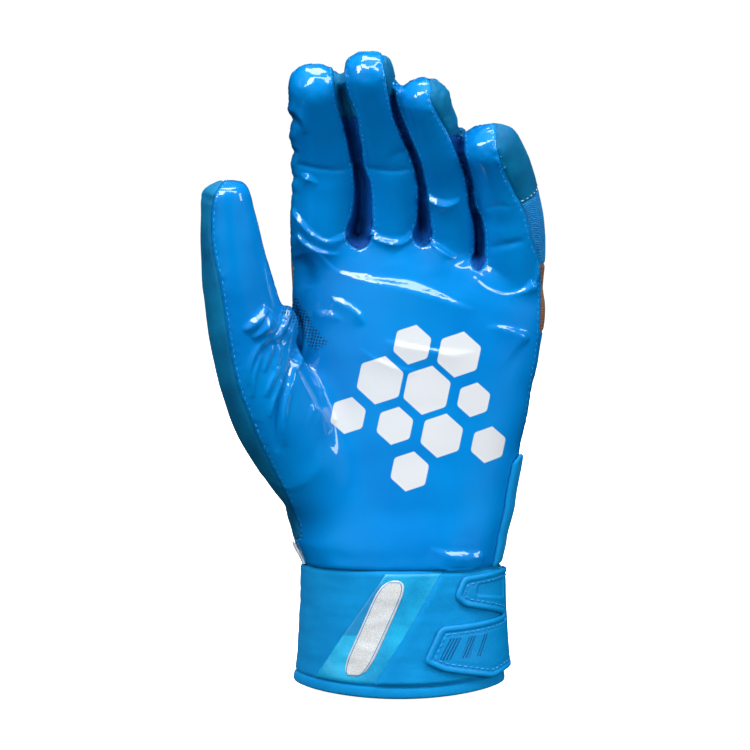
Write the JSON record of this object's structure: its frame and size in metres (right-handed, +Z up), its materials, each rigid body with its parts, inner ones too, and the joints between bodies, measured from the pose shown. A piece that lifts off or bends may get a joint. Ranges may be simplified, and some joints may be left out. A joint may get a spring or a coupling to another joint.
{
  "type": "football receiver glove",
  "caption": "Left-hand sports glove in worn form with a glossy grip palm, slightly curled fingers and a knitted cuff closed by a two-pronged strap.",
  "frame": {"origin": "centre of the wrist opening, at the level of the hem's lowest edge", "axes": "+Z up from the wrist to the fingertips, -Y out of the palm, +X towards the little finger"},
  "size_m": [0.126, 0.0751, 0.2368],
  "materials": {
    "coated": "smooth glossy grip coating on cloth",
    "stretch": "matte fine stretch weave",
    "knit": "matte ribbed knit",
    "band": "matte knit, orange-brown",
    "cuff": "matte knit over thin foam",
    "satin": "satin weave with a soft sheen",
    "silver": "silver foil film",
    "strap": "moulded, satin",
    "label": "matte woven tape"
  },
  "bodies": {
    "root": {"palm_panel": "coated", "thumb_back": "stretch", "index_back": "stretch", "middle_back": "stretch", "ring_back": "stretch", "little_back": "stretch", "index_middle_strip": "stretch", "middle_ring_strip": "stretch", "ring_little_strip": "stretch", "back_of_hand_knit": "knit", "knuckle_band": "band", "knuckle_knit": "knit", "cuff": "cuff", "hem_binding": "cuff", "satin_panel": "satin", "silver_tag": "silver", "overlap_panel": "cuff", "closure_strap": "strap", "side_binding": "cuff", "side_label": "label"}
  },
  "joints": []
}
